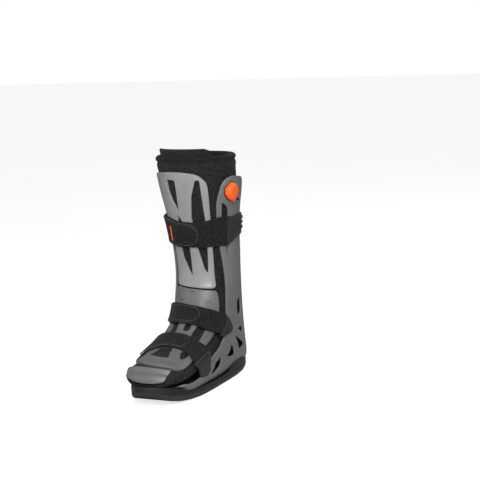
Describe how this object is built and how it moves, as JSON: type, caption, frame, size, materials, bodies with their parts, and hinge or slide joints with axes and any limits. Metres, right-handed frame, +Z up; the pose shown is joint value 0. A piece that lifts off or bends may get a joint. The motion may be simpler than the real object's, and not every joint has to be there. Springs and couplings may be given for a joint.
{
  "type": "medical walking boot",
  "caption": "Tall rigid walking boot: padded liner held between a rear shell, front plates and a toe cap, on a rocker sole, with wrap-over straps and a side pump.",
  "frame": {"origin": "on the flat middle of the sole's underside, on the boot's centre plane, below the ankle", "axes": "+Z up along the leg, the toe points to -Y, +X to the inner side of the leg with the pump"},
  "size_m": [0.165, 0.3392, 0.4248],
  "materials": {
    "plate": "satin moulded plastic, mid gray",
    "base": "satin moulded plastic, darker gray",
    "liner": "brushed black loop cloth over foam",
    "strap": "black brushed strap cloth with stitched edges",
    "tab": "soft dark gray plastic",
    "sole": "matte dark rubber",
    "accent": "orange satin plastic"
  },
  "bodies": {
    "boot": {"outsole": "sole", "base_shell": "base", "liner": "liner", "liner_flap": "liner", "shin_plate": "plate", "instep_plate": "plate", "toe_cap": "plate", "calf_strap": "strap", "calf_strap_end": "strap", "ankle_strap": "strap", "ankle_strap_end": "strap", "foot_strap": "strap", "foot_strap_end": "strap", "strap_tag": "accent", "calf_band": "tab", "ankle_tab_inner": "tab", "ankle_tab_outer": "tab", "foot_tab_inner": "tab", "foot_tab_outer": "tab", "pump_valve": "tab"},
    "pump": {"pump_button": "accent"}
  },
  "joints": [
    {"name": "pump_press", "type": "slide", "parent": "boot", "child": "pump", "axis": [-0.9299, 0.2823, 0.2356], "range_m": [0, 0.0025], "stiffness_N_per_m": 400}
  ]
}
